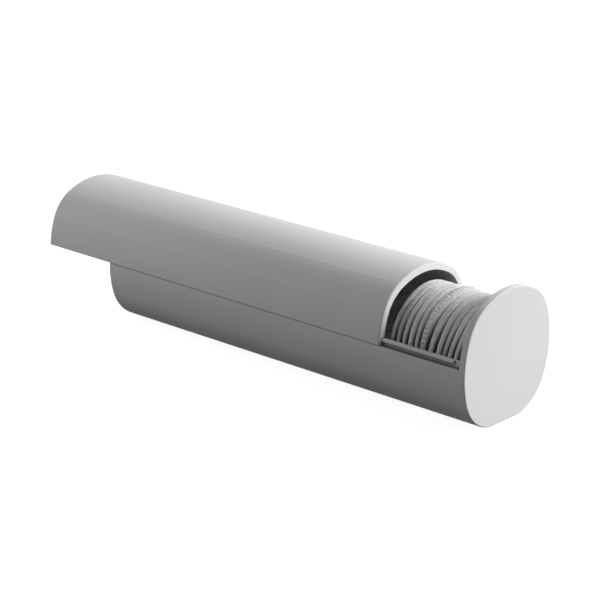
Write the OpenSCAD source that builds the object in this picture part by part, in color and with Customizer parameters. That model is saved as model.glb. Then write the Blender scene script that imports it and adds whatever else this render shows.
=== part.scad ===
// Cotton pad dispenser: a trough with a tall end plate, a sliding cover and a stack of round pads.
// X runs along the tube toward the end plate, Y to the back, Z up. The origin is the centre of the base.

/* [Pads] */
// Diameter of a pad
pad_d = 58; // [50:0.5:66]
// Length of the stack
stack_l = 47; // [40:0.5:60]
// Clearance between neighbouring pads and under them
pad_gap = 0.3; // [0.2:0.05:0.5]
// Width of the drawn-in band round a pad's rim
pad_band = 5; // [3:0.5:8]
// Half thickness of the rim as a share of the pad's half thickness
rim_share = 0.62; // [0.4:0.02:0.9]

/* [Tube outline] */
// Length over both ends when closed
body_l = 246.5; // [200:0.5:300]
// Room over the pads under the crown
head_room = 4.3; // [2:0.1:8]
// Room beside the pads at the widest place
side_room = 3.48; // [2:0.01:6]
// Height of the widest place above the pads' centre
widest_rise = 0.88; // [0:0.01:3]
// Radius of the shoulder arcs between crown and flanks
shoulder_r = 24.62; // [20:0.01:27]
// How far the shoulder arcs' circles stay below the crown
shoulder_drop = 2.48; // [1.5:0.01:4]
// How far the shoulder arcs' circles stay inside the widest place
shoulder_inset = 1.64; // [1:0.01:3]
// Radius of the foot arcs between flanks and base
foot_r = 26.0248; // [22:0.0001:29]

/* [Walls] */
// Wall of the trough and the cover
wall_t = 3.7; // [3.2:0.1:4.4]
// Thickness of the tall end plate
plate_t = 3.7; // [2.5:0.1:6]
// Thickness of the closed end walls opposite the plate
end_wall_t = 3.7; // [2.5:0.1:6]
// Fillet inside the closed ends
inner_fillet = 1; // [0.5:0.1:2]
// Rounding of the end plate's outer edge
plate_edge_r = 0.8; // [0.4:0.1:1.5]
// Rounding of the end plate's edge toward the pads
plate_back_r = 0.5; // [0.2:0.1:1]
// Rounding of the trough's edge at its closed end
tail_edge_r = 1; // [0.4:0.1:2]
// Rounding of the cover's edges at both ends
cover_edge_r = 1.1; // [0.4:0.1:1.3]

/* [Slide] */
// Height of the seam between trough and cover above the pads' centre
seam_rise = 2.5; // [0:0.1:5]
// Open gap of the seam
seam_gap = 0.4; // [0.2:0.05:0.8]
// Height of the guide rails above the seam
rail_h = 3.5; // [2.5:0.1:6]
// Thickness of the rails' neck
neck_t = 1; // [0.8:0.1:1.4]
// Thickness of the bead along the rails' top, which the cover's hooks run under
bead_t = 2; // [1.7:0.1:2.2]
// Height of the bead
bead_h = 1.6; // [1:0.1:2]
// Length of rail beside the plate that has no bead
bead_stop = 4.5; // [1:0.5:10]
// Rounding of the bead's outer top edge
bead_edge_r = 0.8; // [0.3:0.1:0.9]
// Running clearance between the sliding faces
slide_gap = 0.3; // [0.2:0.05:0.4]
// Rounding of the fine edges along the seam
seam_edge_r = 0.25; // [0.1:0.05:0.4]
// How far the cover is drawn back
cover_open = 49; // [0:1:105]

/* [Hidden] */
$fn = 180;
// Thickness of each pad against the others, from the free end to the plate
pad_shares = [3, 3.6, 3.6, 3.6, 3.5, 5.6, 5.2, 4, 3, 3.6, 3.6, 4.5];
// Overrun of a cut past the face that it opens
cut_over = 2;
// Overlap of a rounding with the faces that it runs into
weld = 0.002;
shell_colour = [0.83, 0.83, 0.82];
pad_colour = [0.95, 0.95, 0.94];

// The stack stands on the floor with a hair of air, and the tube is built round it.
pad_z = wall_t + pad_gap + pad_d / 2;
body_h = pad_z + pad_d / 2 + head_room + wall_t;
body_w = pad_d + 2 * (side_room + wall_t);
widest_z = pad_z + widest_rise;
seam_z = pad_z + seam_rise;

// The section is a closed chain of tangent arcs, each centre on the line through two neighbours.
// At these sizes the lines slope by 15:8, 44:117 and 12:35, which keeps the centres short decimals.
shoulder_c = [body_w / 2 - shoulder_inset - shoulder_r, body_h - shoulder_drop - shoulder_r];
crown_r = arc_past(shoulder_c.x, shoulder_drop);
flank_r = arc_past(shoulder_c.y - widest_z, shoulder_inset);
crown_c = [0, body_h - crown_r];
flank_c = [body_w / 2 - flank_r, widest_z];
foot_reach = sqrt(pow(flank_r - foot_r, 2) - pow(widest_z - foot_r, 2));
foot_c = [flank_c.x + foot_reach, foot_r];
// Points outside the section, on the lines where one arc takes over from the next
crown_end = beyond(crown_c, shoulder_c);
flank_top = beyond(flank_c, shoulder_c);
flank_end = beyond(flank_c, foot_c);
base_end = [foot_c.x, -body_h];
foot_field = [foot_c, base_end, flank_end];
flank_field = [flank_c, foot_c, flank_end, flank_top, shoulder_c];
shoulder_field = [shoulder_c, flank_top, crown_end];
crown_field = [crown_c, shoulder_c, crown_end, flip(crown_end), flip(shoulder_c)];

// Places along the tube
tail_x = -body_l / 2;
nose_x = body_l / 2;
plate_x = nose_x - plate_t;
cover_nose_x = plate_x - slide_gap - cover_open;
cover_tail_x = tail_x - cover_open;
// The same for the trough, measured from the plate's face toward the pads
open_x = tail_x - plate_x;
inner_x = open_x + end_wall_t;
rail_x = inner_x + slide_gap;

// Heights and depths at the seam; a depth is measured inward from the outer surface
ledge_z = seam_z - seam_gap / 2;
skirt_z = seam_z + seam_gap / 2;
rail_z = seam_z + rail_h;
bead_z = rail_z - bead_h;
hook_z = bead_z - slide_gap;
rebate_z = rail_z + slide_gap;
bead_d = wall_t - bead_t;
neck_d = wall_t - neck_t;
rebate_d = bead_d - slide_gap;
hook_d = neck_d - slide_gap;

// The stack leans on the plate with the same hair of air.
stack_x = plate_x - pad_gap - stack_l;

function unit(a) = [cos(a), sin(a)];
function flip(p) = [-p.x, p.y];
function beyond(from, to) =
    let (times = 1 + ceil((body_h + flank_r) / norm(to - from))) from + times * (to - from);
function sum_to(v, n) = n <= 0 ? 0 : v[n - 1] + sum_to(v, n - 1);
function pad_name(i) = str("cotton_pad_", i < 9 ? "0" : "", i + 1);

// Radius of the arc that ends tangent to a shoulder's circle, whose centre is aside from the arc's
// axis and whose far side stays inset from the arc's level
function arc_past(aside, inset) = (pow(aside, 2) + pow(inset, 2)) / (2 * inset) + shoulder_r;

// Turns a drawing of the section in X and Y, extruded upward, into a piece along the tube
module along_tube(x) {
    translate([x, 0, 0]) rotate([90, 0, 90]) children();
}

module both_sides() {
    children();
    mirror([1, 0, 0]) children();
}

// A radius by length rectangle whose outer corners are rounded by edge_0 and edge_1
module edge_profile(r, l, edge_0, edge_1) {
    difference() {
        square([r, l]);
        if (edge_0 > 0) translate([r, 0]) corner_waste(edge_0);
        if (edge_1 > 0) translate([r, l]) mirror([0, 1]) corner_waste(edge_1);
    }
}

// What rounding the corner at the origin takes from a shape to its left and above
module corner_waste(r) {
    difference() {
        translate([-r, -r]) square(2 * r);
        translate([-r, r]) circle(r);
    }
}

// The part of an arc's disc inside a field of points, with rounded end edges. Fields of neighbouring
// arcs share the points of the line between them.
module arc_sector(c, r, field, l, edge_0, edge_1) {
    intersection() {
        translate(c) rotate_extrude() edge_profile(r, l, edge_0, edge_1);
        translate([0, 0, -cut_over]) linear_extrude(l + 2 * cut_over) polygon(field);
    }
}

// The whole section from x_0 to x_1, at a depth inside the surface and with rounded end edges
module tube(x_0, x_1, depth = 0, edge_0 = 0, edge_1 = 0) {
    l = x_1 - x_0;
    along_tube(x_0) {
        both_sides() {
            arc_sector(foot_c, foot_r - depth, foot_field, l, edge_0, edge_1);
            arc_sector(flank_c, flank_r - depth, flank_field, l, edge_0, edge_1);
            arc_sector(shoulder_c, shoulder_r - depth, shoulder_field, l, edge_0, edge_1);
        }
        arc_sector(crown_c, crown_r - depth, crown_field, l, edge_0, edge_1);
        translate(foot_c) rotate([90, 0, -90]) linear_extrude(2 * foot_c.x)
            edge_profile(foot_r - depth, l, edge_0, edge_1);
        translate([-body_w / 4, body_h / 4, 0]) cube([body_w / 2, body_h / 2, l]);
    }
}

// A box across the whole tube
module slab(x_0, x_1, z_0, z_1) {
    translate([x_0, -body_w, z_0]) cube([x_1 - x_0, 2 * body_w, z_1 - z_0]);
}

// A strip along both flanks between two depths and two heights
module flank_strip(x_0, x_1, depth_0, depth_1, z_0, z_1) {
    along_tube(x_0) linear_extrude(x_1 - x_0) both_sides() intersection() {
        translate(flank_c) difference() {
            circle(flank_r - depth_0);
            circle(flank_r - depth_1);
        }
        translate([0, z_0]) square([body_w, z_1 - z_0]);
    }
}

// What rounding an edge that runs along a flank takes away. The edge is where the surface at a depth
// meets the level z; rise is 1 under a top face and -1 over a bottom face, and hand is 1 on a surface
// that faces out and -1 on one that faces in.
module flank_rounding(x_0, x_1, depth, z, r, rise = 1, hand = 1) {
    centre_z = z - rise * r;
    centre_r = flank_r - depth - hand * r;
    a = asin((centre_z - flank_c.y) / centre_r);
    out = hand * unit(a);
    up = [0, rise];
    along_tube(x_0) linear_extrude(x_1 - x_0) both_sides()
        translate(flank_c + centre_r * unit(a)) difference() {
            polygon([[0, 0], 2 * r * out, 2 * r * (out + up), 2 * r * up]);
            circle(r + weld);
        }
}

module end_plate() {
    tube(0, plate_t, 0, plate_back_r, plate_edge_r);
}

module trough_shell() {
    difference() {
        tube(open_x, plate_t / 2, 0, tail_edge_r);
        slab(open_x - cut_over, plate_t, ledge_z, body_h + cut_over);
        flank_rounding(open_x - cut_over, 0, 0, ledge_z, seam_edge_r);
    }
}

// Each rail is a thin neck that stands on the trough's wall, with a bead along its top
module rails() {
    difference() {
        union() {
            flank_strip(rail_x, plate_back_r, neck_d, wall_t, ledge_z - cut_over, rail_z);
            flank_strip(rail_x, -bead_stop, bead_d, wall_t, bead_z, rail_z);
        }
        flank_rounding(rail_x - cut_over, -bead_stop, bead_d, rail_z, bead_edge_r);
        flank_rounding(rail_x - cut_over, -bead_stop, bead_d, bead_z, seam_edge_r, -1);
        flank_rounding(rail_x - cut_over, 0, wall_t, rail_z, seam_edge_r, 1, -1);
    }
}

// The trough is cut with the plate's face toward the pads at X = 0
module trough() {
    color(shell_colour) translate([plate_x, 0, 0]) difference() {
        union() {
            trough_shell();
            rails();
            end_plate();
        }
        tube(inner_x, 0, wall_t, inner_fillet, inner_fillet);
    }
}

module cover_shell() {
    difference() {
        tube(cover_tail_x, cover_nose_x, 0, cover_edge_r, cover_edge_r);
        slab(cover_tail_x - cut_over, cover_nose_x + cut_over, -cut_over, skirt_z);
        flank_rounding(cover_tail_x - cut_over, cover_nose_x + cut_over, 0, skirt_z, seam_edge_r, -1);
    }
}

// The cover's wall is hollowed along its foot round the rails, which leaves a hook under each bead
module cover() {
    hollow_x = cover_tail_x + end_wall_t;
    end_x = cover_nose_x + cut_over;
    color(shell_colour) difference() {
        cover_shell();
        tube(hollow_x, end_x, wall_t, inner_fillet);
        flank_strip(hollow_x, end_x, rebate_d, wall_t + cut_over, hook_z, rebate_z);
        flank_strip(hollow_x, end_x, hook_d, wall_t + cut_over, skirt_z - cut_over, rebate_z);
    }
}

// Half of a pad's outline: a flat face, a band that draws in and a round rim
module pad_profile(t) {
    half = t / 2;
    rim_r = half * rim_share;
    rim_c = pad_d / 2 - rim_r;
    face_r = pad_d / 2 - pad_band;
    // The band meets the rim where its line touches the rim's circle
    run = norm([rim_c - face_r, half]);
    a = 90 - (atan2(half, rim_c - face_r) - asin(rim_r / run));
    touch = rim_r * unit(a);
    polygon([
        [0, -half], [face_r, -half], [rim_c + touch.x, -touch.y],
        [rim_c + touch.x, touch.y], [face_r, half], [0, half],
    ]);
    translate([rim_c, 0]) circle(rim_r);
}

module cotton_pad(i) {
    scale_l = stack_l / sum_to(pad_shares, len(pad_shares));
    x = stack_x + scale_l * (sum_to(pad_shares, i) + pad_shares[i] / 2);
    color(pad_colour) along_tube(x) translate([0, pad_z, 0])
        rotate_extrude() pad_profile(scale_l * pad_shares[i] - pad_gap);
}

trough();
cover();
for (i = [0:len(pad_shares) - 1])
    cotton_pad(i);
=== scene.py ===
"""A cotton pad dispenser, dressed for its picture.

A pale moulded tube lies on its side. Its trough holds a stack of round cotton
pads against the end plate, and its cover slides along the trough to close over
them. The two mouldings are the solids of the frame with a finish of their own,
and each pad is a soft form that stands in its solid's place.
"""

from __future__ import annotations

import logging
import math
from collections.abc import Mapping
from dataclasses import dataclass
from enum import Enum

import bmesh
import bpy
from mathutils import Euler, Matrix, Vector


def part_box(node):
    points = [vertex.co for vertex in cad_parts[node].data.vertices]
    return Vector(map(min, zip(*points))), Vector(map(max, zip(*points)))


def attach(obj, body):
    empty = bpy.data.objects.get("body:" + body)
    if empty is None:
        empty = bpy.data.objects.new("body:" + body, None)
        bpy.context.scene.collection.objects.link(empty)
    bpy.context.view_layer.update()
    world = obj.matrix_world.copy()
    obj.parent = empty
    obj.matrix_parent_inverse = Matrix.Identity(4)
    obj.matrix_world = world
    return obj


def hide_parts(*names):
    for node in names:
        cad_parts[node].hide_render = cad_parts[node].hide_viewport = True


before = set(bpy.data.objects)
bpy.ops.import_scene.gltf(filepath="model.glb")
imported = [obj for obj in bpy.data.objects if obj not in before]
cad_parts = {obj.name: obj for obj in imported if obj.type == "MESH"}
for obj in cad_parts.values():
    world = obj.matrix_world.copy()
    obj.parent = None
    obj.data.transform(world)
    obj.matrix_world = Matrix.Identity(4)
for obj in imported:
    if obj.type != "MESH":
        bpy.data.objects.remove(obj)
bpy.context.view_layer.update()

log = logging.getLogger("cotton_pad_dispenser")

MM = 0.001

Socket = bpy.types.NodeSocket
Triple = tuple[float, float, float]
Colour = tuple[float, float, float, float]


class Moulding(Enum):
    """The solids of the frame that keep their own shape."""

    TROUGH = "trough"
    COVER = "cover"


class Rim(Enum):
    """The looks of a pad's cut edge, with the depths of its groove and of its crimps."""

    PLAIN = (0.0, 0.0)
    DOUBLE = (0.35 * MM, 0.0)
    CRIMPED = (0.0, 0.6 * MM)


class Signal:
    """A node's output that takes part in Python sums, where each sign adds its Math node."""

    def __init__(self, board: NodeBoard, socket: Socket) -> None:
        """Keep the socket and the board that it is on.

        Args:
            board: The node board that new Math nodes go on.
            socket: The output socket that carries the value.
        """
        self.board = board
        self.socket = socket

    def _with(self, operation: str, *terms: Signal | float) -> Signal:
        """Add one Math node.

        Args:
            operation: Name of the Math node's operation.
            terms: Its inputs in order, as signals or plain numbers.

        Returns:
            The node's result.
        """
        inputs = dict(enumerate(terms))
        return self.board.signal("ShaderNodeMath", 0, {"operation": operation}, inputs)

    def __add__(self, other: Signal | float) -> Signal:
        """Return self + other."""
        return self._with("ADD", self, other)

    def __radd__(self, other: float) -> Signal:
        """Return other + self."""
        return self._with("ADD", other, self)

    def __sub__(self, other: Signal | float) -> Signal:
        """Return self - other."""
        return self._with("SUBTRACT", self, other)

    def __rsub__(self, other: float) -> Signal:
        """Return other - self."""
        return self._with("SUBTRACT", other, self)

    def __mul__(self, other: Signal | float) -> Signal:
        """Return self * other."""
        return self._with("MULTIPLY", self, other)

    def __rmul__(self, other: float) -> Signal:
        """Return other * self."""
        return self._with("MULTIPLY", other, self)

    def __truediv__(self, other: Signal | float) -> Signal:
        """Return self / other."""
        return self._with("DIVIDE", self, other)

    def __pow__(self, other: Signal | float) -> Signal:
        """Return self to the power of other."""
        return self._with("POWER", self, other)

    def __neg__(self) -> Signal:
        """Return self with the other sign."""
        return self._with("MULTIPLY", self, -1.0)

    def above(self, floor: Signal | float) -> Signal:
        """Return the larger of self and floor."""
        return self._with("MAXIMUM", self, floor)

    def below(self, ceiling: Signal | float) -> Signal:
        """Return the smaller of self and ceiling."""
        return self._with("MINIMUM", self, ceiling)

    def sine(self) -> Signal:
        """Return the sine of self, an angle in radians."""
        return self._with("SINE", self)

    def cosine(self) -> Signal:
        """Return the cosine of self, an angle in radians."""
        return self._with("COSINE", self)

    def step(self, start: float, end: float) -> Signal:
        """Ease from 0 at start to 1 at end.

        Args:
            start: Value at which the result leaves 0.
            end: Value at which the result reaches 1.

        Returns:
            A smooth step between 0 and 1.
        """
        settings = {"interpolation_type": "SMOOTHSTEP", "clamp": True}
        inputs = {"Value": self, "From Min": start, "From Max": end}
        return self.board.signal("ShaderNodeMapRange", "Result", settings, inputs)

    def hump(self, middle: float, reach: float) -> Signal:
        """Rise smoothly from 0 to 1 at middle and fall back to 0.

        Args:
            middle: Value with the peak.
            reach: Distance from the peak to where the hump ends.

        Returns:
            A round hump between 0 and 1.
        """
        away = self._with("ABSOLUTE", self - middle)
        return 1.0 - away.step(0.0, reach)


Wire = Signal | float | int | str | tuple | Socket


@dataclass(frozen=True)
class Cloud:
    """A noise of soft lumps.

    Attributes:
        size: Distance between its lumps, in the units of what it is laid on.
        detail: How many finer layers it has.
        rough: Weight of a finer layer against the one before it.
        swirl: How far its lumps are drawn out of place.
    """

    size: float
    detail: float
    rough: float = 0.5
    swirl: float = 0.0


class NodeBoard:
    """A node tree of a material, a world or a geometry, with one way to add any node."""

    def __init__(self, tree: bpy.types.NodeTree) -> None:
        """Keep the tree.

        Args:
            tree: The node tree that nodes are added to.
        """
        self.tree = tree

    def add(
        self,
        kind: str,
        settings: Mapping[str, object] | None = None,
        inputs: Mapping[str | int, Wire] | None = None,
    ) -> bpy.types.Node:
        """Add a node, choose its settings, then fill its sockets.

        Args:
            kind: The node's type.
            settings: Its own properties, set before any socket.
            inputs: Values or links for its sockets, by name or number.

        Returns:
            The new node.
        """
        node = self.tree.nodes.new(kind)
        for name, value in (settings or {}).items():
            setattr(node, name, value)
        for name, value in (inputs or {}).items():
            self._join(node.inputs[name], value)
        return node

    def signal(
        self,
        kind: str,
        output: str | int,
        settings: Mapping[str, object] | None = None,
        inputs: Mapping[str | int, Wire] | None = None,
    ) -> Signal:
        """Add a node and return one of its outputs.

        Args:
            kind: The node's type.
            output: Name or number of the output.
            settings: Its own properties.
            inputs: Values or links for its sockets.

        Returns:
            That output.
        """
        return Signal(self, self.add(kind, settings, inputs).outputs[output])

    def noise(self, place: Signal, cloud: Cloud) -> Signal:
        """Add a cloud of noise.

        Args:
            place: The coordinates that it is laid on.
            cloud: The noise.

        Returns:
            Its value, about 0.5 in the middle.
        """
        inputs = {
            "Vector": place,
            "Scale": 1 / cloud.size,
            "Detail": cloud.detail,
            "Roughness": cloud.rough,
            "Distortion": cloud.swirl,
        }
        return self.signal("ShaderNodeTexNoise", 0, None, inputs)

    def blend(self, share: Signal, first: Wire, second: Wire) -> Signal:
        """Blend two colours.

        Args:
            share: 0 for the first colour and 1 for the second.
            first: A colour, or a signal that carries one.
            second: Another.

        Returns:
            The blended colour.
        """
        inputs = {"Factor": share, "A": first, "B": second}
        return self.signal("ShaderNodeMix", "Result", {"data_type": "RGBA"}, inputs)

    def bump(
        self, height: Signal, strength: float, depth: float, under: Signal | None = None
    ) -> Signal:
        """Let the light fall as if the surface had a relief.

        Args:
            height: The relief, from 0 to 1.
            strength: Share of the relief that shows.
            depth: Distance from its lowest to its highest place.
            under: A coarser relief that this one lies on.

        Returns:
            The direction in which the surface faces.
        """
        inputs = {"Strength": strength, "Distance": depth, "Height": height}
        if under is not None:
            inputs["Normal"] = under
        return self.signal("ShaderNodeBump", "Normal", None, inputs)

    def show(self, lighting: Socket, shown: Socket) -> Socket:
        """Light the object with one shader and let the eye see another.

        Args:
            lighting: What lights the object.
            shown: What the camera sees, also off a gloss or through glass.

        Returns:
            Both in one shader.
        """
        rays = self.add("ShaderNodeLightPath").outputs
        seen = Signal(self, rays["Is Camera Ray"])
        for name in ("Is Glossy Ray", "Is Transmission Ray"):
            seen = seen.above(Signal(self, rays[name]))
        inputs = {0: seen, 1: lighting, 2: shown}
        return self.add("ShaderNodeMixShader", None, inputs).outputs[0]

    def _join(self, socket: Socket, value: Wire) -> None:
        """Link a socket to a signal, or give it a plain value.

        Args:
            socket: The input socket.
            value: A signal, another socket, or the value itself.
        """
        if isinstance(value, Signal):
            self.tree.links.new(value.socket, socket)
        elif isinstance(value, Socket):
            self.tree.links.new(value, socket)
        else:
            socket.default_value = value


def new_material(name: str) -> tuple[bpy.types.Material, NodeBoard]:
    """Make a material with an empty node tree.

    Args:
        name: The material's name.

    Returns:
        The material and its node board.
    """
    material = bpy.data.materials.new(name)
    material.use_nodes = True
    material.node_tree.nodes.clear()
    return material, NodeBoard(material.node_tree)


def grey(value: float, tint: Triple = (1.0, 1.0, 1.0)) -> Colour:
    """Return a colour of one brightness, slightly tinted.

    Args:
        value: Brightness from 0 to 1.
        tint: Factors for red, green and blue.

    Returns:
        The colour with full opacity.
    """
    return (value * tint[0], value * tint[1], value * tint[2], 1.0)


@dataclass(frozen=True)
class MouldedPlastic:
    """The pale matt plastic of the two mouldings, as it comes out of a fine-blasted tool.

    Attributes:
        name: Name of the material.
        colours: The colours between which it drifts.
        drift: The drift, over a hand's width.
        nook: How near a wall has to be for a corner to get painted shade.
        painted_shade_share: Shares of near walls all round at which it starts to dim and is
            dimmest.
        shade: The colour of the painted shade deep in a narrow corner.
        look_round: Directions in which it looks for near walls.
        gloss: Roughness of the smoothest and of the dullest places.
        smear: The change between them.
        grain: The tool's blasted grain.
        grain_gloss: How much the grain changes the roughness.
        grain_depth: Depth of the grain.
        grain_strength: Share of that depth that shows.
        swell: The shallow waves of the surface.
        swell_depth: Depth of the waves.
        swell_strength: Share of that depth that shows.
        specular: Strength of the reflection, where 0.5 is that of glossy plastic.
    """

    name: str = "moulded_plastic"
    colours: tuple[Colour, Colour] = (
        grey(0.64, (1.0, 1.0, 0.99)),
        grey(0.66, (1.0, 1.0, 0.995)),
    )
    drift: Cloud = Cloud(60 * MM, 2.0)
    nook: float = 4 * MM
    painted_shade_share: tuple[float, float] = (0.16, 0.52)
    shade: Colour = grey(0.12)
    look_round: int = 16
    gloss: tuple[float, float] = (0.6, 0.65)
    smear: Cloud = Cloud(20 * MM, 3.0)
    grain: Cloud = Cloud(0.35 * MM, 2.0)
    grain_gloss: float = 0.06
    grain_depth: float = 0.03 * MM
    grain_strength: float = 0.12
    swell: Cloud = Cloud(11 * MM, 1.0)
    swell_depth: float = 0.25 * MM
    swell_strength: float = 0.1
    specular: float = 0.12

    def make(self) -> bpy.types.Material:
        """Build the finish.

        Returns:
            The material.
        """
        material, board = new_material(self.name)
        place = board.signal("ShaderNodeTexCoord", "Object")
        grain = board.noise(place, self.grain)
        waves = board.bump(
            board.noise(place, self.swell), self.swell_strength, self.swell_depth
        )
        inputs = {
            "Base Color": self._colour(board, place),
            "Roughness": self._roughness(board, place, grain),
            "Normal": board.bump(grain, self.grain_strength, self.grain_depth, waves),
            "Specular IOR Level": self.specular,
        }
        shader = board.signal("ShaderNodeBsdfPrincipled", "BSDF", None, inputs)
        board.add("ShaderNodeOutputMaterial", None, {"Surface": shader})
        return material

    def _colour(self, board: NodeBoard, place: Signal) -> Signal:
        """Add the colour, with painted shade where the moulding's own walls close a place
        in.

        Args:
            board: The material's board.
            place: A point's place on the object.

        Returns:
            The colour.
        """
        drift = board.noise(place, self.drift)
        plain = board.blend(drift.step(start=0.3, end=0.7), *self.colours)
        # Painted shade: the colour darkens toward the shade colour where the moulding's own
        # walls close a corner or recess in.
        settings = {"only_local": True, "samples": self.look_round}
        inputs = {"Distance": self.nook}
        free = board.signal("ShaderNodeAmbientOcclusion", "AO", settings, inputs)
        painted_shade_share = (1.0 - free).step(*self.painted_shade_share)
        return board.blend(painted_shade_share, plain, self.shade)

    def _roughness(self, board: NodeBoard, place: Signal, grain: Signal) -> Signal:
        """Add the roughness, which changes slowly and with the grain.

        Args:
            board: The material's board.
            place: A point's place on the object.
            grain: Height of the grain.

        Returns:
            The roughness.
        """
        low, high = self.gloss
        smear = board.noise(place, self.smear).step(start=0.25, end=0.75)
        return low + (high - low) * smear + (grain - 0.5) * self.grain_gloss


@dataclass(frozen=True)
class CottonFleece:
    """Pressed cotton fibre: streaks along the cut edge, tufts and loose fibres over it.

    Attributes:
        name: Name of the material.
        colours: The colours between the fibres and on them; the darker one between them is
            painted shade.
        proud: Heights at which the one turns into the other.
        painted_gap_shade: The colour deep between two pads.
        bundle: Length, width and depth of a bundle of fibres that runs along the rim.
        streaks: The bundles, laid on coordinates that count in bundles.
        tufts: The tufts of the pressed face.
        fluff: The loose fibres.
        heights: Shares of streaks, tufts and fluff in the height.
        depth: Depth of them all.
        roughness: Its roughness, the same all over.
        specular: Strength of its reflection.
        sheen: Strength and roughness of the sheen of its fibre ends.
        glow: Share of the light that passes inside the fleece.
        glow_reach: How far that light gets.
    """

    name: str = "cotton_fleece"
    colours: tuple[Colour, Colour] = (
        grey(0.8, (1.0, 0.995, 0.985)),
        grey(0.97, (1.0, 0.998, 0.992)),
    )
    proud: tuple[float, float] = (0.6, 0.82)
    painted_gap_shade: Colour = grey(0.2)
    bundle: Triple = (3.0 * MM, 0.45 * MM, 0.45 * MM)
    streaks: Cloud = Cloud(1.0, 3.0, swirl=0.6)
    tufts: Cloud = Cloud(1.1 * MM, 4.0, rough=0.6)
    fluff: Cloud = Cloud(0.45 * MM, 3.0, swirl=1.2)
    heights: Triple = (0.5, 0.6, 0.35)
    depth: float = 0.7 * MM
    roughness: float = 0.95
    specular: float = 0.15
    sheen: tuple[float, float] = (0.1, 0.6)
    glow: float = 0.1
    glow_reach: float = 1.6 * MM

    def make(self) -> bpy.types.Material:
        """Build the finish.

        Returns:
            The material.
        """
        material, board = new_material(self.name)
        height = self._height(board)
        # Painted shade: the colour is darker where the fibres lie low.
        colour = board.blend(height.step(*self.proud), *self.colours)
        between = board.signal("ShaderNodeAttribute", "Fac", {"attribute_name": "painted_gap_shade"})
        inputs = {
            # Painted shade: the fleece darkens deep in the gaps between neighbouring pads.
            "Base Color": board.blend(between, colour, self.painted_gap_shade),
            "Roughness": self.roughness,
            "Diffuse Roughness": 1.0,
            "Normal": board.bump(height, strength=1.0, depth=self.depth),
            "Specular IOR Level": self.specular,
            "Subsurface Weight": self.glow,
            "Subsurface Radius": (self.glow_reach,) * 3,
            "Subsurface Scale": 1.0,
            "Sheen Weight": self.sheen[0],
            "Sheen Roughness": self.sheen[1],
        }
        shader = board.signal("ShaderNodeBsdfPrincipled", "BSDF", None, inputs)
        board.add("ShaderNodeOutputMaterial", None, {"Surface": shader})
        return material

    def _height(self, board: NodeBoard) -> Signal:
        """Add the height of the fibres.

        Args:
            board: The material's board.

        Returns:
            The height, about 0.7 in the middle.
        """
        lay = board.signal("ShaderNodeAttribute", "Vector", {"attribute_name": "edge_lay"})
        bundles = tuple(1 / length for length in self.bundle)
        along = board.signal(
            "ShaderNodeVectorMath", 0, {"operation": "MULTIPLY"}, {0: lay, 1: bundles}
        )
        place = board.signal("ShaderNodeTexCoord", "Object")
        layers = (
            board.noise(along, self.streaks),
            board.noise(place, self.tufts),
            board.noise(place, self.fluff),
        )
        return sum(layer * share for layer, share in zip(layers, self.heights))


@dataclass(frozen=True)
class FloorPaint:
    """The floor's plain white, which the camera sees with the object's soft shadow on it.

    Attributes:
        name: Name of the material.
        glow: Share of plain white in what the camera sees.
        paint: Brightness of the floor where the light falls on it.
        bounce: Brightness of what it throws back on the object.
    """

    name: str = "studio_floor"
    glow: float = 0.93
    paint: float = 0.3
    bounce: float = 0.07

    def make(self) -> bpy.types.Material:
        """Build the finish.

        Returns:
            The material.
        """
        material, board = new_material(self.name)
        glow = {"Color": grey(1.0), "Strength": self.glow}
        white = board.signal("ShaderNodeEmission", 0, None, glow)
        lit = self._coat(board, self.paint)
        shown = board.add("ShaderNodeAddShader", None, {0: white, 1: lit}).outputs[0]
        surface = board.show(self._coat(board, self.bounce), shown)
        board.add("ShaderNodeOutputMaterial", None, {"Surface": surface})
        return material

    @staticmethod
    def _coat(board: NodeBoard, brightness: float) -> Socket:
        """Return a matt coat of one brightness, added to the board."""
        inputs = {"Color": grey(brightness)}
        return board.add("ShaderNodeBsdfDiffuse", None, inputs).outputs[0]


@dataclass(frozen=True)
class Housing:
    """The two mouldings, which are the frame's own solids.

    Attributes:
        plastic: The finish of both.
    """

    plastic: MouldedPlastic = MouldedPlastic()

    def dress(self) -> None:
        """Give both solids the moulded plastic."""
        material = self.plastic.make()
        for moulding in Moulding:
            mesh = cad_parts[moulding.value].data
            mesh.materials.clear()
            mesh.materials.append(material)
            log.info("%s: %d faces in moulded plastic", moulding.value, len(mesh.polygons))


@dataclass(frozen=True)
class Lumps:
    """One layer of the unevenness of a pad's rim.

    Attributes:
        height: How far it moves the rim, from its lowest place to its highest.
        density: Its lumps on one radius.
        pad_seed: Fixed step through the noise from one pad to the next.
        rim_step: Step through the noise from one side of the rim to the other.
        detail: How many finer layers it has; a fraction makes a faint one.
    """

    height: float
    density: float
    pad_seed: float
    rim_step: float = 0.0
    detail: float = 1.0


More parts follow.
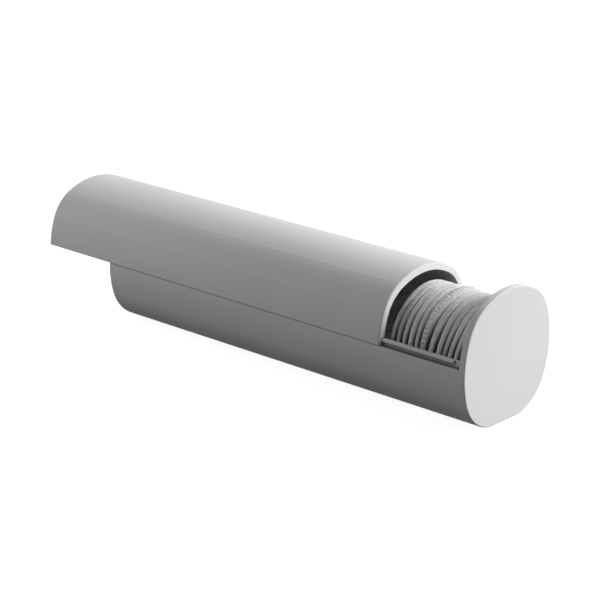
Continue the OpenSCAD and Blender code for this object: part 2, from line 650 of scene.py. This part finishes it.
@dataclass(frozen=True)
class PadForm:
    """The numbers that shape every pad alike.

    Attributes:
        turns: Points round a pad.
        profile: Points across a pad, from the middle of one face to the other.
        crowd: How much closer the points lie at the top than at the bottom.
        face: Share of the profile that each flat face takes.
        rim_top: Depth of the rounded rim at the top, in shares of a pad's softness.
        rim_low: How much deeper it is from half height down.
        blunt: Power of the rim's profile, where a low one is blunt and 1 is round.
        lumps: The layers of its unevenness.
        groove: Middle and reach of the groove of a double rim, in shares of the thickness.
        crimp: Middle and reach of the row of crimps, in shares of the thickness.
        crimps: Number of crimps round a pad.
        crimp_slant: How far a crimp slants across the rim, in radians of its wave.
        crimp_proud: How far a crimp stands out more than it goes in, in its own depth.
        crimp_top: Share of the crimps' depth at the top; from half height down it is 1 more.
        crimp_fade: Height, in radii above the middle, up to which the crimps fade in.
        part: Share of its thickness that a pad's rim gives up near the rails.
        part_low: Where round the pad that starts and is full, from 0 at the top to 1.
        part_out: Where on the face that starts and is full, from 0 in the middle to 1.
        gap: Depths under the rim between which the painted shade in the gap to the neighbour
            sets in.
        gap_end: Depths between which that painted shade ends, where the faces touch.
        gap_light: Share of the painted shade that is taken away near the top, where light
            falls in from above.
        gap_lit: Heights, in radii above the middle, between which it does so.
        lean_about: Height above a pad's middle at which a leaning pad stays in place.
        wave_size: Distance between the waves in the faces.
        wave_seed: Fixed step through their noise from one face to the next.
        weld: Distance within which points of the closed mesh are one.
    """

    turns: int = 480
    profile: int = 46
    crowd: float = 0.6
    face: float = 0.2
    rim_top: float = 0.4
    rim_low: float = 1.4
    blunt: float = 0.45
    lumps: tuple[Lumps, ...] = (
        Lumps(0.9 * MM, 1.7, 3.7, detail=0.4),
        Lumps(0.34 * MM, 13.0, 7.1, 2.5),
        Lumps(0.5 * MM, 32.0, 15.62, 5.5),
    )
    groove: tuple[float, float] = (0.55, 0.22)
    crimp: tuple[float, float] = (0.33, 0.3)
    crimps: float = 72.0
    crimp_slant: float = 4.0
    crimp_proud: float = 0.35
    crimp_top: float = 0.6
    crimp_fade: float = 0.25
    part: float = 0.48
    part_low: tuple[float, float] = (0.25, 1.0)
    part_out: tuple[float, float] = (0.35, 0.85)
    gap: tuple[float, float] = (0.4 * MM, 2.0 * MM)
    gap_end: tuple[float, float] = (8 * MM, 14 * MM)
    gap_light: float = 0.75
    gap_lit: tuple[float, float] = (0.2, 0.8)
    lean_about: float = 17 * MM
    wave_size: float = 17 * MM
    wave_seed: float = 5.3
    weld: float = 0.002 * MM


class PadTree:
    """The geometry tree that shapes one pad from a flat grid.

    The grid's first direction runs round the pad from its lowest point, and
    its second from the middle of the left face, over the rim, to the middle of
    the right face.

    Attributes:
        form: The numbers that shape every pad alike.
        tree: The tree itself.
        board: Its node board.
        given: The sockets of its inputs.
        size: Those that hold a pad's own sizes.
        angle: How far round the pad a point lies, in radians.
        swing: Its distance across the tube, in radii.
        rise: Its height above the pad's middle, in radii.
        away: 0 at the top of the pad and 1 from half height down.
        across: Share of the way from the one face's middle to the other's.
    """

    def __init__(self, form: PadForm, names: tuple[str, ...]) -> None:
        """Make the tree.

        Args:
            form: The numbers that shape every pad alike.
            names: Names of the inputs that hold a pad's own sizes.
        """
        self.form = form
        self.tree = bpy.data.node_groups.new("cotton_pad", "GeometryNodeTree")
        self.board = NodeBoard(self.tree)
        face = self.tree.interface
        for name in names:
            face.new_socket(name, in_out="INPUT", socket_type="NodeSocketFloat")
        face.new_socket("Fleece", in_out="INPUT", socket_type="NodeSocketMaterial")
        face.new_socket("Pad", in_out="OUTPUT", socket_type="NodeSocketGeometry")
        self.given = self.board.add("NodeGroupInput").outputs
        self.size = {name: Signal(self.board, self.given[name]) for name in names}
        place = self.board.signal("GeometryNodeInputPosition", "Position")
        split = self.board.add("ShaderNodeSeparateXYZ", None, {"Vector": place}).outputs
        turn = (Signal(self.board, split["X"]) + 0.5) * math.tau
        self.angle = turn + turn.sine() * form.crowd
        self.swing = self.angle.sine()
        self.rise = -self.angle.cosine()
        self.away = ((1.0 - self.rise).above(0.0) ** 0.5).below(1.0)
        self.across = Signal(self.board, split["Y"]) + 0.5
        self._shape()

    def _shape(self) -> None:
        """Add the nodes that lead from the grid to the finished pad.

        What the finish reads is stored on the grid before its points move,
        because it is worked out from where they lie on the grid.
        """
        reach, side, painted_gap_shade = self._section()
        wide = reach * self.swing
        tall = reach * self.rise
        left = self._face_place("Left", wide, tall, 0)
        right = self._face_place("Right", wide, tall, 1)
        along = left + (right - left) * side
        high = (tall + self.size["Middle"]).above(self.size["Rest"])
        point = self._vector(along, wide, high)
        lay = self._vector(self.angle * self.size["Radius"], along, reach)
        vector = {"data_type": "FLOAT_VECTOR", "domain": "POINT"}
        number = {"data_type": "FLOAT", "domain": "POINT"}
        steps = (
            ("StoreNamedAttribute", vector, {"Name": "edge_lay", "Value": lay}),
            ("StoreNamedAttribute", number, {"Name": "painted_gap_shade", "Value": painted_gap_shade}),
            ("SetPosition", None, {"Position": point}),
            ("MergeByDistance", None, {"Distance": self.form.weld}),
            ("RealizeInstances", None, {}),
            ("SetMaterial", None, {"Material": self.given["Fleece"]}),
        )
        grid = {
            "Size X": 1.0,
            "Size Y": 1.0,
            "Vertices X": self.form.turns + 1,
            "Vertices Y": self.form.profile,
        }
        pad = self.board.add("GeometryNodeMeshGrid", None, grid).outputs["Mesh"]
        for kind, settings, inputs in steps:
            inputs = {"Geometry": pad, **inputs}
            pad = self.board.add(f"GeometryNode{kind}", settings, inputs).outputs["Geometry"]
        self.board.add("NodeGroupOutput", None, {"Pad": pad})

    def _section(self) -> tuple[Signal, Signal, Signal]:
        """Work out the pad's section, from one face over the rim to the other.

        Returns:
            Distance from the pad's axis, share of the way from its left face
            to its right one, and the share of painted shade that a place gets between two
            pads.
        """
        form, across, radius = self.form, self.across, self.size["Radius"]
        inner = (across / form.face).below((1.0 - across) / form.face).below(1.0)
        far = 1.0 - inner
        flat = 1.0 - far * far
        bend = ((across - form.face) / (1 - 2 * form.face)).above(0.0).below(1.0)
        beta = bend * math.pi
        side = (1.0 - beta.cosine()) * 0.5
        belly = beta.sine().above(0.0) ** form.blunt
        depth = self.size["Softness"] * (form.rim_top + self.away * form.rim_low)
        reach = (radius - depth) * flat + depth * belly
        reach = reach + belly * self._unevenness(side) + self._edge(side)
        # Share of painted shade that a place gets in the gap to its neighbour.
        painted_gap_shade = self._nestled(radius - reach, side)
        parted = self.away.step(*form.part_low) * flat.step(*form.part_out) * form.part
        return reach, 0.5 + (side - 0.5) * (1.0 - parted), painted_gap_shade

    def _unevenness(self, side: Signal) -> Signal:
        """Add the lumps of the rim.

        Args:
            side: Share of the way from the left face to the right one.

        Returns:
            How far they move the rim outwards.
        """
        moves = []
        for layer in self.form.lumps:
            wide = self.swing * layer.density
            tall = self.rise * layer.density
            deep = self.size["Number"] * layer.pad_seed + side * layer.rim_step
            moves.append(self._noise(wide, tall, deep, layer.detail) * layer.height)
        return sum(moves)

    def _edge(self, side: Signal) -> Signal:
        """Add the crimps of the rim, or the groove that makes it look double.

        Args:
            side: Share of the way from the left face to the right one.

        Returns:
            How far they move the rim outwards.
        """
        form = self.form
        groove = side.hump(*form.groove) * self.size["Double Line"]
        ridge = (self.angle * form.crimps + side * form.crimp_slant).sine()
        crimp = (ridge + form.crimp_proud) * side.hump(*form.crimp) * self.size["Crimp"]
        crimp = crimp * (form.crimp_top + self.away)
        return crimp * self.rise.step(0.0, form.crimp_fade) - groove

    def _nestled(self, sunk: Signal, side: Signal) -> Signal:
        """Find the places between two pads that get painted shade, with less of it near the
        top.

        Args:
            sunk: Depth of a place under the rim.
            side: Share of the way from the left face to the right one.

        Returns:
            0 for a place in the open and up to 1 for one in full painted shade.
        """
        form = self.form
        meets = side.step(start=0.4, end=0.6).above(self.size["Left Meets"])
        inward = sunk.step(*form.gap) * (1.0 - sunk.step(*form.gap_end))
        return inward * meets * (1.0 - form.gap_light * self.rise.step(*form.gap_lit))

    def _face_place(self, name: str, wide: Signal, tall: Signal, step: int) -> Signal:
        """Return where one of a pad's faces lies along the tube.

        Neighbours share this surface, because it depends only on the place in
        the tube's section and on the number of the gap between them.

        Args:
            name: Left or Right.
            wide: Distance across the tube.
            tall: Height above the pad's middle.
            step: 0 for the pad's left face and 1 for its right one.

        Returns:
            The place along the tube.
        """
        form, size = self.form, self.size
        deep = (size["Number"] + step) * form.wave_seed
        waves = self._noise(wide / form.wave_size, tall / form.wave_size, deep, 1.0)
        share = tall / size["Radius"]
        bow = size[f"{name} Bow"] * (1.0 - share * share)
        lean = size[f"{name} Lean"] * (tall.above(0.0) - form.lean_about)
        to_either_side = waves * 2.0 * size[f"{name} Wave"]
        return size[name] + lean + bow + to_either_side

    def _noise(self, wide: Signal, tall: Signal, deep: Signal, detail: float) -> Signal:
        """Add a cloud of noise over a plane.

        Args:
            wide: First coordinate, in lumps.
            tall: Second coordinate, in lumps.
            deep: Third coordinate, which picks the cloud.
            detail: How many finer layers it has.

        Returns:
            Its value, from about -0.5 to 0.5.
        """
        place = self._vector(wide, tall, deep)
        return self.board.noise(place, Cloud(1.0, detail)) - 0.5

    def _vector(self, x: Signal, y: Signal, z: Signal) -> Signal:
        """Return three coordinates as one vector."""
        inputs = {"X": x, "Y": y, "Z": z}
        return self.board.signal("ShaderNodeCombineXYZ", "Vector", None, inputs)


@dataclass(frozen=True)
class Meeting:
    """The surface on which two pads meet, or with which the stack ends.

    Attributes:
        lean: How far it leans to the right going up, as a slope.
        bow: How far it bows to the right at half height.
        shift: How far it stands to the right of the solids' own meeting.
        wave: How far the waves in it go to either side.
    """

    lean: float = 0.0
    bow: float = 0.0
    shift: float = 0.0
    wave: float = 0.45 * MM


@dataclass(frozen=True)
class PadSpec:
    """What sets one pad of the stack apart from its neighbours.

    Attributes:
        fall: How much smaller than its solid its radius is.
        soft: The unit in which the depth of its rounded rim is given.
        rim: The look of its cut edge.
    """

    fall: float
    soft: float
    rim: Rim = Rim.PLAIN


@dataclass(frozen=True)
class PadStack:
    """The round cotton pads that stand on edge against the end plate.

    Attributes:
        fleece: The finish of every pad.
        form: The numbers that shape every pad alike.
        specs: The pads from left to right.
        meetings: The surfaces between them, from the stack's left face to its right one.
        clear: Distance that a pad keeps from the trough's floor.
    """

    fleece: CottonFleece = CottonFleece()
    form: PadForm = PadForm()
    specs: tuple[PadSpec, ...] = (
        PadSpec(0.2 * MM, 0.9 * MM),
        PadSpec(0.0, 0.9 * MM),
        PadSpec(0.1 * MM, 1.0 * MM, Rim.DOUBLE),
        PadSpec(0.0, 0.9 * MM),
        PadSpec(0.2 * MM, 1.0 * MM),
        PadSpec(0.0, 1.3 * MM, Rim.CRIMPED),
        PadSpec(0.1 * MM, 1.3 * MM, Rim.DOUBLE),
        PadSpec(0.3 * MM, 1.1 * MM),
        PadSpec(0.4 * MM, 0.9 * MM, Rim.DOUBLE),
        PadSpec(0.5 * MM, 0.9 * MM),
        PadSpec(0.6 * MM, 0.9 * MM),
        PadSpec(0.8 * MM, 1.1 * MM),
    )
    meetings: tuple[Meeting, ...] = (
        Meeting(lean=0.06, bow=-0.5 * MM, shift=-1.0 * MM, wave=0.2 * MM),
        Meeting(bow=-1.4 * MM),
        Meeting(bow=-1.5 * MM, shift=-0.1 * MM),
        Meeting(bow=-1.3 * MM, shift=-0.2 * MM),
        Meeting(bow=-0.3 * MM, shift=-0.4 * MM),
        Meeting(bow=-0.5 * MM, shift=-0.65 * MM),
        Meeting(lean=0.11, shift=-0.2 * MM),
        Meeting(lean=0.1, shift=-0.8 * MM),
        Meeting(lean=0.1, shift=-0.5 * MM),
        Meeting(lean=0.13, shift=-0.5 * MM),
        Meeting(lean=0.11, shift=-0.4 * MM),
        Meeting(lean=0.11, shift=-0.5 * MM),
        Meeting(lean=0.09, shift=-1.0 * MM, wave=0.0),
    )
    clear: float = 0.15 * MM

    def build(self) -> list[bpy.types.Object]:
        """Make the whole stack.

        Returns:
            The pads from left to right.
        """
        material = self.fleece.make()
        sizes = [self._sizes(number, spec) for number, spec in enumerate(self.specs, 1)]
        tree = PadTree(self.form, tuple(sizes[0])).tree
        pads = [
            self._pad(self._node(number), tree, values, material)
            for number, values in enumerate(sizes, 1)
        ]
        bpy.data.node_groups.remove(tree)
        return pads

    @staticmethod
    def _node(number: int) -> str:
        """Return the name of the solid that a pad stands for, counted from the left."""
        return f"cotton_pad_{number:02d}"

    def _sizes(self, number: int, spec: PadSpec) -> dict[str, float]:
        """Work out one pad's sizes from its solid and its neighbours.

        Args:
            number: The pad's number from the left, starting at 1.
            spec: What sets it apart.

        Returns:
            A value for each named input of the geometry tree.
        """
        low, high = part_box(self._node(number))
        left, right = self.meetings[number - 1], self.meetings[number]
        groove, crimp = spec.rim.value
        return {
            "Left": low.x + left.shift,
            "Right": high.x + right.shift,
            "Radius": (high.z - low.z) / 2 - spec.fall,
            "Middle": (high.z + low.z) / 2,
            "Rest": low.z + self.clear,
            "Left Lean": left.lean,
            "Right Lean": right.lean,
            "Left Bow": left.bow,
            "Right Bow": right.bow,
            "Left Wave": left.wave,
            "Right Wave": right.wave,
            "Number": float(number),
            "Left Meets": 0.0 if number == 1 else 1.0,
            "Softness": spec.soft,
            "Double Line": groove,
            "Crimp": crimp,
        }

    def _pad(
        self,
        node: str,
        tree: bpy.types.NodeTree,
        sizes: Mapping[str, float],
        material: bpy.types.Material,
    ) -> bpy.types.Object:
        """Cut one pad.

        Args:
            node: Name of the solid that it stands for.
            tree: The geometry tree that shapes a pad.
            sizes: The pad's sizes, by the names of the tree's inputs.
            material: Its finish.

        Returns:
            The pad as a plain mesh on the base.
        """
        values = {**sizes, "Fleece": material}
        mesh = bpy.data.meshes.new(f"{node}_fleece")
        pad = bpy.data.objects.new(f"{node}_fleece", mesh)
        bpy.context.collection.objects.link(pad)
        press = pad.modifiers.new("press", "NODES")
        press.node_group = tree
        for item in tree.interface.items_tree:
            if item.in_out == "INPUT":
                press[item.identifier] = values[item.name]
        graph = bpy.context.evaluated_depsgraph_get()
        shaped = bpy.data.meshes.new_from_object(pad.evaluated_get(graph))
        pad.modifiers.clear()
        pad.data = shaped
        bpy.data.meshes.remove(mesh)
        self._face_out(shaped)
        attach(pad, "base")
        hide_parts(node)
        log.info("%s: %d faces of cotton fleece", pad.name, len(shaped.polygons))
        return pad

    @staticmethod
    def _face_out(mesh: bpy.types.Mesh) -> None:
        """Turn every face of a closed mesh outwards and shade it smooth.

        Args:
            mesh: The pad's mesh.
        """
        work = bmesh.new()
        work.from_mesh(mesh)
        bmesh.ops.recalc_face_normals(work, faces=work.faces)
        for face in work.faces:
            face.smooth = True
        work.to_mesh(mesh)
        work.free()


@dataclass(frozen=True)
class Softbox:
    """A square lamp.

    Attributes:
        name: Its name.
        place: Where it hangs.
        side: Length of its sides.
        watts: Its power.
    """

    name: str
    place: Triple
    side: float
    watts: float

    def hang(self, aim: Triple) -> None:
        """Hang it.

        Args:
            aim: The point that it looks at.
        """
        data = bpy.data.lights.new(self.name, "AREA")
        data.shape = "SQUARE"
        data.size = self.side
        data.energy = self.watts
        lamp = bpy.data.objects.new(self.name, data)
        lamp.location = self.place
        towards = Vector(aim) - Vector(self.place)
        lamp.rotation_euler = towards.to_track_quat("-Z", "Y").to_euler()
        bpy.context.collection.objects.link(lamp)


@dataclass(frozen=True)
class Studio:
    """The camera, the lamps, the floor and the white round them.

    Attributes:
        stand: Place of the camera.
        turn: The camera's turn about X, Y and Z in degrees.
        lens: Its focal length in millimetres.
        film: Width of its film in millimetres.
        near: Distance from which it sees.
        floor_size: Length of the floor's sides.
        floor_paint: The floor's finish.
        sky: Strength of the light that comes from all round.
        lamps: The lamps.
        aim: The point that the lamps look at.
    """

    stand: Triple = (0.63598, -0.7546, 0.36563)
    turn: Triple = (71.424, -1.2827, 41.1363)
    lens: float = 117.35
    film: float = 36.0
    near: float = 0.01
    floor_size: float = 12.0
    floor_paint: FloorPaint = FloorPaint()
    sky: float = 0.165
    lamps: tuple[Softbox, ...] = (
        Softbox("right", (1.37, 0.82, 0.74), 0.7, 35.2),
        Softbox("behind", (-0.45, 1.3, 0.95), 0.6, 11.0),
        Softbox("left_front", (-0.5, -0.5, 0.34), 0.4, 1.7),
    )
    aim: Triple = (0.0, 0.0, 0.03)

    def build(self) -> None:
        """Set up everything round the object."""
        self._camera()
        self._floor()
        self._world()
        for lamp in self.lamps:
            lamp.hang(self.aim)

    def _camera(self) -> None:
        """Place the camera as the photograph was taken."""
        data = bpy.data.cameras.new("camera")
        data.lens = self.lens
        data.sensor_width = self.film
        data.clip_start = self.near
        camera = bpy.data.objects.new("camera", data)
        camera.location = self.stand
        camera.rotation_euler = Euler([math.radians(a) for a in self.turn], "XYZ")
        bpy.context.collection.objects.link(camera)
        bpy.context.scene.camera = camera

    def _floor(self) -> None:
        """Lay the floor under the object."""
        mesh = bpy.data.meshes.new("floor")
        half = self.floor_size / 2
        corners = [(-half, -half, 0), (half, -half, 0), (half, half, 0), (-half, half, 0)]
        mesh.from_pydata(corners, [], [(0, 1, 2, 3)])
        floor = bpy.data.objects.new("floor", mesh)
        mesh.materials.append(self.floor_paint.make())
        bpy.context.collection.objects.link(floor)

    def _world(self) -> None:
        """Make the surroundings white to the eye and dim to the object."""
        world = bpy.data.worlds.new("studio")
        bpy.context.scene.world = world
        world.use_nodes = True
        world.node_tree.nodes.clear()
        board = NodeBoard(world.node_tree)
        dim, white = (self._light(board, strength) for strength in (self.sky, 1.0))
        board.add("ShaderNodeOutputWorld", None, {"Surface": board.show(dim, white)})

    @staticmethod
    def _light(board: NodeBoard, strength: float) -> Socket:
        """Return white light of one strength, added to the board."""
        inputs = {"Color": grey(1.0), "Strength": strength}
        return board.add("ShaderNodeBackground", None, inputs).outputs[0]


def main() -> None:
    """Build the picture from the camera to the last pad."""
    logging.basicConfig(level=logging.INFO, format="%(name)s: %(message)s")
    Studio().build()
    log.info("camera, floor and lamps are set")
    Housing().dress()
    pads = PadStack().build()
    log.info("%d pads are stacked", len(pads))
    bpy.context.scene.view_settings.view_transform = "Standard"


if __name__ == "__main__":
    main()
